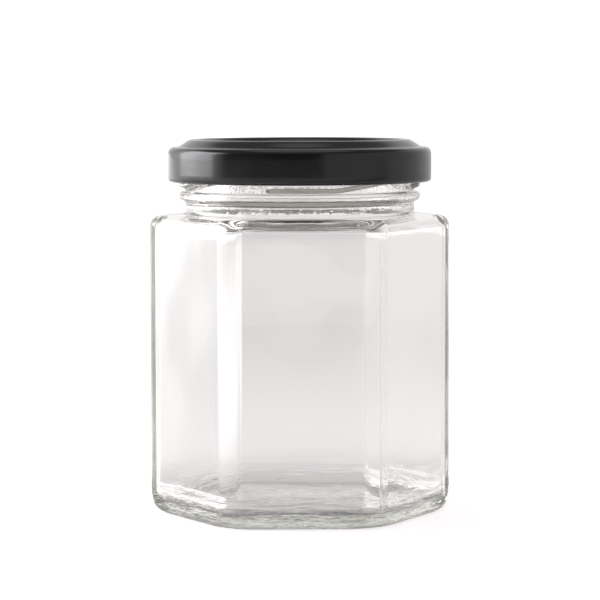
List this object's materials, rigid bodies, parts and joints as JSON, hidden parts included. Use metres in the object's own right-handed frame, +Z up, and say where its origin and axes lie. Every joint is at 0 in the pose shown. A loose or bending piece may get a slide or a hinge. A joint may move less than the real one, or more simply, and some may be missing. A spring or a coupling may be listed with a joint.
{
  "type": "hexagonal glass jar",
  "caption": "Clear glass food jar with a hexagonal body, a round threaded neck with a bead, and a black twist-off metal lid with a white sealing ring; empty.",
  "frame": {"origin": "middle of the base, on the surface that the jar stands on", "axes": "+Z up through the lid, -Y out of one flat of the hexagon, the front in the picture"},
  "size_m": [0.0754, 0.0666, 0.094],
  "materials": {
    "clear_glass": "clear, glossy, with slight waves from the mould",
    "black_enamel": "smooth semi-gloss black enamel",
    "sealing_compound": "matt, soft, off-white"
  },
  "bodies": {
    "root": {"jar": "clear_glass", "lid": "black_enamel", "seal": "sealing_compound"}
  },
  "joints": []
}
